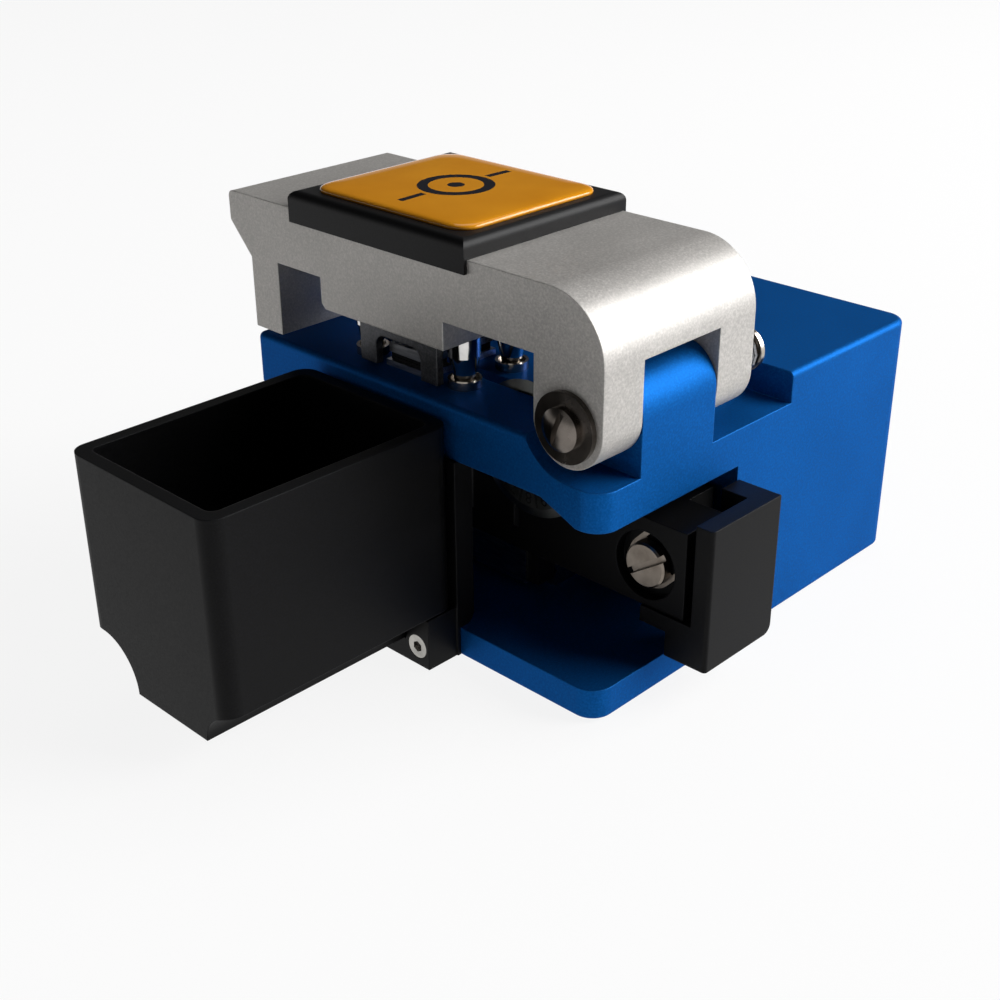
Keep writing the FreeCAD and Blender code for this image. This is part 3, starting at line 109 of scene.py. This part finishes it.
def blasted_aluminium(name, dark, base, light, edge, metal, rough, grit_mm=0.30, bump=0.10,
                      highlight_share=0.5, sheen_level=0.5, sheen_tint="#FFFFFF"):
    """Bead-blasted, anodised aluminium.  Real pits are 0.1 mm; they are drawn coarser, to show."""
    cloud_mm = 14
    edge_mm = 0.22
    pit_depth = 0.00004
    finish, tree, place, surface = start_finish(name)
    grit = add_node(tree, "TexNoise", {"Scale": 1000 / grit_mm, "Detail": 2.0, "Roughness": 0.6},
                    Vector=place)
    cloud = add_node(tree, "TexNoise", {"Scale": 1000 / cloud_mm, "Detail": 3.0, "Roughness": 0.5},
                     Vector=place)
    tone = add_node(tree, "ValToRGB", Fac=grit.outputs["Fac"])
    tone.color_ramp.elements[0].position = 0.30
    tone.color_ramp.elements[0].color = linear(dark)
    tone.color_ramp.elements[1].position = 0.72
    tone.color_ramp.elements[1].color = linear(light)
    middle = tone.color_ramp.elements.new(0.5)
    middle.color = linear(base)
    spread = add_node(tree, "MapRange", {"From Min": 0.3, "From Max": 0.7, "To Min": 0.93,
                                         "To Max": 1.07}, Value=cloud.outputs["Fac"])
    shade = add_node(tree, "VectorMath", {"operation": "SCALE"}, i0=tone.outputs["Color"],
                     Scale=spread.outputs["Result"])
    # Painted highlight: each broken edge is painted lighter, for the light it catches.
    rounded, edges = edge_break(tree, edge_mm)
    edge_glint = add_node(tree, "Math", {"operation": "MULTIPLY"}, i0=edges, i1=grit.outputs["Fac"])
    painted_highlight = add_node(tree, "Math", {"operation": "MULTIPLY"}, i0=edge_glint.outputs["Value"])
    painted_highlight.inputs[1].default_value = highlight_share
    highlighted_tone = add_node(tree, "Mix", {"data_type": "RGBA"}, i0=painted_highlight.outputs["Value"],
                    i6=shade.outputs["Vector"])
    highlighted_tone.inputs[7].default_value = linear(edge)
    gloss = add_node(tree, "MapRange", {"From Min": 0.3, "From Max": 0.7, "To Min": rough - 0.06,
                                        "To Max": rough + 0.06}, Value=grit.outputs["Fac"])
    pits = add_node(tree, "Bump", {"Strength": bump, "Distance": pit_depth},
                    Height=grit.outputs["Fac"], Normal=rounded)
    surface.inputs["Metallic"].default_value = metal
    surface.inputs["Specular IOR Level"].default_value = sheen_level
    surface.inputs["Specular Tint"].default_value = linear(sheen_tint)
    tree.links.new(highlighted_tone.outputs[2], surface.inputs["Base Color"])
    tree.links.new(gloss.outputs["Result"], surface.inputs["Roughness"])
    tree.links.new(pits.outputs["Normal"], surface.inputs["Normal"])
    return finish


def wear(node, finish):
    """Gives a CAD part its finish."""
    for slot in part[node].material_slots:
        slot.material = finish


blue_anodised = blasted_aluminium("blue anodised aluminium", "#084A8A", "#0A5296", "#125FA9",
                                  "#3C86D4", 0.66, 0.56, sheen_level=0.15, sheen_tint="#7FB2F0")
wear("base_body", blue_anodised)

# ---- Rubber feet
# Four moulded rubber discs, glued into round recesses under the body.  Matt, with a fine texture
# from the mould.  The clamps' pads and the anvil's tip are of the same rubber.


def moulded(name, dark, light, rough, grain_mm, bump):
    """Moulded rubber or plastic: a fine even texture from the mould, and slight changes of tone."""
    grain_depth = 0.00005
    finish, tree, place, surface = start_finish(name)
    grain = add_node(tree, "TexNoise", {"Scale": 1000 / grain_mm, "Detail": 3.0}, Vector=place)
    tone = add_node(tree, "ValToRGB", Fac=grain.outputs["Fac"])
    tone.color_ramp.elements[0].position = 0.35
    tone.color_ramp.elements[0].color = linear(dark)
    tone.color_ramp.elements[1].position = 0.65
    tone.color_ramp.elements[1].color = linear(light)
    texture = add_node(tree, "Bump", {"Strength": bump, "Distance": grain_depth},
                       Height=grain.outputs["Fac"])
    surface.inputs["Roughness"].default_value = rough
    surface.inputs["Specular IOR Level"].default_value = 0.16
    tree.links.new(tone.outputs["Color"], surface.inputs["Base Color"])
    tree.links.new(texture.outputs["Normal"], surface.inputs["Normal"])
    return finish


black_rubber = moulded("black rubber", "#141414", "#1D1D1E", 0.75, 0.4, 0.2)
for node in ("rubber_feet", "lower_clamp_pads", "clamp_pad_right", "clamp_pad_left", "anvil_tip"):
    wear(node, black_rubber)

# ---- Linear guide, shoes and plain steel
# The rail and its runner are hardened and ground, and the clamp shoes are ground flat.  Grinding
# leaves fine straight lines along the part.


def ground_metal(name, dark, light, rough, stretch=(1, 12, 12), line_mm=0.25, bump=0.05):
    """Ground or turned metal: long fine lines, drawn wider than the real ones, to show."""
    line_ratio = 12         # a ground line's length over its width
    line_depth = 0.00003
    finish, tree, place, surface = start_finish(name)
    along = add_node(tree, "Mapping", {"Scale": stretch}, Vector=place)
    lines = add_node(tree, "TexNoise", {"Scale": 1000 / line_mm / line_ratio, "Detail": 4.0},
                     Vector=along.outputs["Vector"])
    tone = add_node(tree, "ValToRGB", Fac=lines.outputs["Fac"])
    tone.color_ramp.elements[0].position = 0.3
    tone.color_ramp.elements[0].color = linear(dark)
    tone.color_ramp.elements[1].position = 0.7
    tone.color_ramp.elements[1].color = linear(light)
    gloss = add_node(tree, "MapRange", {"To Min": rough - 0.05, "To Max": rough + 0.08},
                     Value=lines.outputs["Fac"])
    cut = add_node(tree, "Bump", {"Strength": bump, "Distance": line_depth},
                   Height=lines.outputs["Fac"])
    surface.inputs["Metallic"].default_value = 1.0
    tree.links.new(tone.outputs["Color"], surface.inputs["Base Color"])
    tree.links.new(gloss.outputs["Result"], surface.inputs["Roughness"])
    tree.links.new(cut.outputs["Normal"], surface.inputs["Normal"])
    return finish


ground_steel = ground_metal("ground steel", "#8E8F92", "#B4B5B8", 0.30, (12, 1, 12))
for node in ("guide_rail", "guide_block", "lower_clamp_shoes", "clamp_shoe_right",
             "clamp_shoe_left", "clamp_ring_right", "clamp_ring_left", "anvil_plunger",
             "anvil_ring", "blade_post"):
    wear(node, ground_steel)

black_oxide = ground_metal("black oxide steel", "#17171A", "#26262A", 0.45)
for node in ("rail_screws", "guide_screws"):
    wear(node, black_oxide)

black_plastic = moulded("black moulded plastic", "#080809", "#0F0F11", 0.46, 0.25, 0.10)
wear("guide_end_caps", black_plastic)

spring_wire = ground_metal("drawn spring wire", "#7C7D80", "#A8A9AC", 0.30)
for node in ("anvil_spring", "clamp_spring_right", "clamp_spring_left", "lid_spring"):
    wear(node, spring_wire)

bronze = ground_metal("sintered bronze", "#7E5A2E", "#A67B42", 0.45, (1, 1, 1))
wear("lug_bushes", bronze)

# ---- Fibre adapter and clamp frames
# Small milled aluminium parts, blasted and anodised dark grey.  The adapter is screwed down behind
# the lid, and the frames hang under the lid's foot with a clamp in each.

grey_anodised = blasted_aluminium("grey anodised aluminium", "#3C3D40", "#4A4B4E", "#5A5B5F",
                                  "#8C8D90", 0.8, 0.40)
for node in ("fibre_adapter", "clamp_frame_right", "clamp_frame_left"):
    wear(node, grey_anodised)

# ---- Carriage, push blocks, bin and bracket
# Milled aluminium, fine-blasted and anodised black: a deep satin black that shows the light as a
# broad grey sheen.

black_anodised = blasted_aluminium("black anodised aluminium", "#070708", "#0B0B0C", "#101012",
                                   "#303034", 0.0, 0.46, 0.25, 0.05, sheen_level=0.10)
for node in ("carriage", "back_push_block", "front_push_block", "scrap_bin", "bin_bracket"):
    wear(node, black_anodised)

# ---- Screws, pin and magnets
# Turned steel.  The pin and magnet cups are nickel-plated, which gives a faint warm tone; the small
# screws are plain stainless steel.

nickel = ground_metal("nickel plate", "#A79F95", "#D8D0C6", 0.22, (1, 1, 1))
for node in ("hinge_pin", "latch_magnets", "bin_magnets", "bracket_magnets"):
    wear(node, nickel)

# The lock screw and its washer are a darker, rougher nickel plate.
duller_nickel = ground_metal("duller nickel plate", "#6E655C", "#9A9187", 0.30, (1, 1, 1))
for node in ("lock_screw", "lock_washer"):
    wear(node, duller_nickel)
# Painted reflection: the hinge screw and its washer are nickel plate painted darker, for the dark
# surroundings that their polish mirrors.
nickel_with_painted_reflection = ground_metal("nickel plate with painted dark reflection", "#4E4944", "#77706A", 0.24, (1, 1, 1))
for node in ("hinge_screw", "hinge_washer"):
    wear(node, nickel_with_painted_reflection)

stainless = ground_metal("turned stainless steel", "#9A9894", "#C4C1BB", 0.28, (1, 1, 1))
for node in ("adapter_screws", "push_block_screws", "blade_screw", "bracket_screws", "anvil_plug"):
    wear(node, stainless)

polished_steel = ground_metal("polished steel", "#B9B8B6", "#E4E3E1", 0.10, (1, 1, 1), 0.4, 0.02)
wear("lid_stops", polished_steel)

# ---- Blade wheel
# Tungsten carbide, lapped flat and ground to an edge.  The dial on its outer face is laser-marked
# with sixteen numbered positions.

carbide = ground_metal("lapped carbide", "#4E504F", "#6C6E6C", 0.34, (1, 1, 1))
wear("blade_wheel", carbide)

low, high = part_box("blade_wheel")
wheel_centre = (Vector(low) + Vector(high)) / 2
wheel_radius = (high[2] - low[2]) / 2
positions = 16
figure_height = 0.0016
capital_share = 0.7     # a capital's height over the font's size
figure_depth = 0.00001
figure_inset = 0.0026   # from the wheel's edge to a figure's middle
line_size = (0.00034, 0.0024, 0.00002, 1.0)
# Figures face +X and read with their heads outward.
upright = Matrix(((0, 0, 1, 0), (1, 0, 0, 0), (0, 1, 0, 0), (0, 0, 0, 1)))
seat = Matrix.Translation((high[0], wheel_centre.y, wheel_centre.z))
outward = Matrix.Translation((0, 0, wheel_radius - figure_inset))
half_step = Matrix.Rotation(math.pi / positions, 4, "X")
dial = bmesh.new()
for number in range(1, positions + 1):
    figure = bpy.data.curves.new("figure", "FONT")
    figure.body = str(number)
    figure.align_x = "CENTER"
    figure.align_y = "CENTER"
    figure.size = figure_height / capital_share
    figure.extrude = figure_depth
    holder = bpy.data.objects.new("figure", figure)
    scene.collection.objects.link(holder)
    bpy.context.view_layer.update()
    drawn = holder.evaluated_get(bpy.context.evaluated_depsgraph_get())
    flat = bpy.data.meshes.new_from_object(drawn)
    before = len(dial.verts)
    dial.from_mesh(flat)
    dial.verts.ensure_lookup_table()
    glyph = dial.verts[before:]
    # The dividing line stands half a step on from its figure.
    line = bmesh.ops.create_cube(dial, size=1.0, matrix=Matrix.Diagonal(line_size))["verts"]
    turn = Matrix.Rotation(2 * math.pi / positions * number, 4, "X")
    bmesh.ops.transform(dial, verts=glyph, matrix=seat @ turn @ outward @ upright)
    bmesh.ops.transform(dial, verts=line, matrix=seat @ turn @ half_step @ outward @ upright)
    bpy.data.objects.remove(holder)
    bpy.data.meshes.remove(flat)
bmesh.ops.remove_doubles(dial, verts=dial.verts, dist=1e-7)
bmesh.ops.recalc_face_normals(dial, faces=dial.faces)
wheel_dial = bpy.data.objects.new("wheel_dial", bpy.data.meshes.new("wheel_dial"))
dial.to_mesh(wheel_dial.data)
dial.free()
scene.collection.objects.link(wheel_dial)
dial_ink = moulded("laser-marked black", "#060606", "#0C0C0C", 0.7, 0.2, 0.05)
wheel_dial.data.materials.append(dial_ink)
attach(wheel_dial, "wheel")

# ---- Lid
# Milled aluminium, bead-blasted coarser than the body and clear anodised: a pale silver skin with
# a visible sparkle.

silver_anodised = blasted_aluminium("silver anodised aluminium", "#A3A09D", "#B0ADA9", "#C2BFBB",
                                    "#E6E4E1", 0.50, 0.48, 0.28, 0.11, highlight_share=0.6)
wear("lid_arm", silver_anodised)

# ---- Grip saddle and badge
# Black moulded saddle, pressed over the lid.  The badge is clear resin, poured as a dome over an
# amber ground with a plain printed sign.

wear("grip_saddle", black_plastic)
low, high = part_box("badge_dome")
badge_middle = (Vector(low) + Vector(high)) / 2
badge_side = Vector(high) - Vector(low)
resin_edge = 0.00030
resin_corner = 0.0028
poured = bmesh.new()
badge_seat = Matrix.Translation((badge_middle.x, badge_middle.y, low[2] + resin_edge / 2))
badge_size = Matrix.Diagonal((badge_side.x, badge_side.y, resin_edge, 1.0))
bmesh.ops.create_cube(poured, size=1.0, matrix=badge_seat @ badge_size)
upright_edges = [e for e in poured.edges if abs(e.verts[0].co.z - e.verts[1].co.z) > 1e-5]
bmesh.ops.bevel(poured, geom=upright_edges, offset=resin_corner, offset_type="OFFSET", segments=8,
                profile=0.5, affect="EDGES", material=-1)
# Surface tension rounds the edge steeply, then the pool crowns slowly to its middle.
crown = max(poured.faces, key=lambda f: f.calc_center_median().z)
crown_steps = ((0.00008, 0.00012), (0.00014, 0.00010), (0.00022, 0.00008), (0.0005, 0.00006),
               (0.0015, 0.00006), (0.0030, 0.00005), (0.0030, 0.00002))
for width, rise in crown_steps:
    bmesh.ops.inset_region(poured, faces=[crown], thickness=0.0)
    bmesh.ops.translate(poured, verts=crown.verts, vec=(-badge_middle.x, -badge_middle.y, rise))
    span = max(v.co.x for v in crown.verts) * 2
    length = max(v.co.y for v in crown.verts) * 2
    bmesh.ops.scale(poured, verts=crown.verts,
                    vec=(1 - 2 * width / span, 1 - 2 * width / length, 1))
    bmesh.ops.translate(poured, verts=crown.verts, vec=(badge_middle.x, badge_middle.y, 0))
# An inset leaves its faces in no fixed order, so they are put in the order of their corners.
poured.verts.index_update()
corners = max(v.index for v in poured.verts) + 1
poured.faces.sort(key=lambda f: (min(v.index for v in f.verts) * corners
                                 + max(v.index for v in f.verts)))
bmesh.ops.recalc_face_normals(poured, faces=poured.faces)
for face in poured.faces:
    face.smooth = face.normal.z > -0.5
badge = bpy.data.objects.new("badge", bpy.data.meshes.new("badge"))
poured.to_mesh(badge.data)
poured.free()
scene.collection.objects.link(badge)

amber_resin, tree, place, surface = start_finish("amber domed resin")
flow_mm = 9
flow = add_node(tree, "TexNoise", {"Scale": 1000 / flow_mm, "Detail": 2.0}, Vector=place)
tone = add_node(tree, "ValToRGB", Fac=flow.outputs["Fac"])
tone.color_ramp.elements[0].color = linear("#CF8208")
tone.color_ramp.elements[1].color = linear("#E89E1C")
# The sign is a cleaved fibre's: a ring and a dot for its end, and its line to both sides.
centred = add_node(tree, "Mapping", {"Location": (-badge_middle.x, -badge_middle.y, -low[2])},
                   Vector=place)
across = add_node(tree, "SeparateXYZ", Vector=centred.outputs["Vector"])
flat_place = add_node(tree, "CombineXYZ", X=across.outputs["X"], Y=across.outputs["Y"])
reach = add_node(tree, "VectorMath", {"operation": "LENGTH"}, i0=flat_place.outputs["Vector"])
side = add_node(tree, "Math", {"operation": "ABSOLUTE"}, i0=across.outputs["X"])
# Each band is a measure, its middle and its half width.
bands = [(reach.outputs["Value"], 0.0042, 0.0007),      # the ring
         (reach.outputs["Value"], 0.0, 0.0011),         # the dot
         (side.outputs["Value"], 0.0075, 0.0020),       # the line's length, on each side
         (across.outputs["Y"], 0.0, 0.0005)]            # the line's thickness
inside = []
for measure, middle, half in bands:
    band = add_node(tree, "Math", {"operation": "COMPARE"}, i0=measure)
    band.inputs[1].default_value = middle
    band.inputs[2].default_value = half
    inside.append(band.outputs["Value"])
end = add_node(tree, "Math", {"operation": "MAXIMUM"}, i0=inside[0], i1=inside[1])
line = add_node(tree, "Math", {"operation": "MULTIPLY"}, i0=inside[2], i1=inside[3])
mark = add_node(tree, "Math", {"operation": "MAXIMUM"}, i0=end.outputs["Value"],
                i1=line.outputs["Value"])
printed = add_node(tree, "Mix", {"data_type": "RGBA"}, i0=mark.outputs["Value"],
                   i6=tone.outputs["Color"])
printed.inputs[7].default_value = linear("#1A1A22")
tree.links.new(printed.outputs[2], surface.inputs["Base Color"])
surface.inputs["Roughness"].default_value = 0.45
surface.inputs["Specular IOR Level"].default_value = 0.0
surface.inputs["Coat Weight"].default_value = 1.0
surface.inputs["Coat Roughness"].default_value = 0.03
badge.data.materials.append(amber_resin)
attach(badge, "lid")
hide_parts("badge_dome")

# ---- Table and light
# A pale, plain floor.  A large soft window stands to the left, on the hinge's side, a weaker panel
# hangs overhead, and a faint fill stands beyond the bin.

floor_mesh = bmesh.new()
bmesh.ops.create_grid(floor_mesh, x_segments=1, y_segments=1, size=3.0)
bmesh.ops.translate(floor_mesh, verts=floor_mesh.verts, vec=(0, 0, cad_bounds[0][2]))
table = bpy.data.objects.new("table", bpy.data.meshes.new("table"))
floor_mesh.to_mesh(table.data)
floor_mesh.free()
scene.collection.objects.link(table)

white_table = bpy.data.materials.new("white table")
white_table.use_nodes = True
tree = white_table.node_tree
tree.nodes.clear()
cloth = add_node(tree, "BsdfDiffuse", {"Color": linear("#F2F2F2")})
glow = add_node(tree, "Emission", {"Color": linear("#FFFFFF"), "Strength": 1.0})
rays = add_node(tree, "LightPath")
through = add_node(tree, "Math", {"operation": "MAXIMUM"}, i0=rays.outputs["Is Camera Ray"],
                   i1=rays.outputs["Is Transmission Ray"])
seen = add_node(tree, "Math", {"operation": "MAXIMUM"}, i0=through.outputs["Value"],
                i1=rays.outputs["Is Glossy Ray"])
# To the eye and in a gloss the floor is nearly white; a little of its shadow stays.
mixed = add_node(tree, "MixShader", {"Fac": 0.88}, i1=cloth.outputs["BSDF"],
                 i2=glow.outputs["Emission"])
either = add_node(tree, "MixShader", i0=seen.outputs["Value"], i1=cloth.outputs["BSDF"],
                  i2=mixed.outputs["Shader"])
add_node(tree, "OutputMaterial", Surface=either.outputs["Shader"])
table.data.materials.append(white_table)

sky = bpy.data.worlds.new("studio")
scene.world = sky
sky.use_nodes = True
tree = sky.node_tree
tree.nodes.clear()
rays = add_node(tree, "LightPath")
through = add_node(tree, "Math", {"operation": "MAXIMUM"}, i0=rays.outputs["Is Camera Ray"],
                   i1=rays.outputs["Is Transmission Ray"])
room = add_node(tree, "Background", {"Color": linear("#FFFFFF"), "Strength": 0.05})
# A gloss sees the white backdrop, which stands a little above the table, under a dim ceiling.
height = add_node(tree, "SeparateXYZ", Vector=add_node(tree, "TexCoord").outputs["Generated"])
backdrop_height = add_node(tree, "MapRange", {"From Min": 0.02, "From Max": 0.20, "To Min": 1.0,
                                              "To Max": 0.04}, Value=height.outputs["Z"])
backdrop = add_node(tree, "Background", {"Color": linear("#FFFFFF")},
                    Strength=backdrop_height.outputs["Result"])
white = add_node(tree, "Background", {"Color": linear("#FFFFFF"), "Strength": 0.95})
mirrored = add_node(tree, "MixShader", i0=rays.outputs["Is Glossy Ray"],
                    i1=room.outputs["Background"], i2=backdrop.outputs["Background"])
either = add_node(tree, "MixShader", i0=through.outputs["Value"], i1=mirrored.outputs["Shader"],
                  i2=white.outputs["Background"])
add_node(tree, "OutputWorld", Surface=either.outputs["Shader"])


def softbox(name, position, aim, size, power):
    """A square area lamp, aimed at a point."""
    lamp = bpy.data.lights.new(name, "AREA")
    lamp.size = size
    lamp.energy = power
    holder = bpy.data.objects.new(name, lamp)
    holder.location = position
    holder.rotation_euler = (Vector(aim) - Vector(position)).to_track_quat("-Z", "Y").to_euler()
    scene.collection.objects.link(holder)


lid_height = (0, 0, 0.03)
softbox("window", (-0.58, 0.56, 0.45), lid_height, 0.7, 15.0)
softbox("ceiling", (-0.3, -0.2, 0.75), lid_height, 0.5, 0.9)
softbox("fill", (0.8, -0.1, 0.3), lid_height, 0.5, 0.2)

# ---- Camera
# Standing off the bin's corner, looking down over the hinge.

lens = bpy.data.cameras.new("camera")
lens.sensor_width = 36.0
lens.lens = 53.68
lens.clip_start = 0.01
camera = bpy.data.objects.new("camera", lens)
camera.location = (0.14644, 0.12564, 0.10536)
heading, dip, roll = 134.20, 26.85, -0.37
turned = Matrix.Rotation(math.radians(heading), 3, "Z")
tipped = Matrix.Rotation(math.radians(90 - dip), 3, "X")
rolled = Matrix.Rotation(math.radians(roll), 3, "Z")
camera.rotation_euler = (turned @ tipped @ rolled).to_euler()
scene.collection.objects.link(camera)
scene.camera = camera

scene.view_settings.view_transform = "Standard"
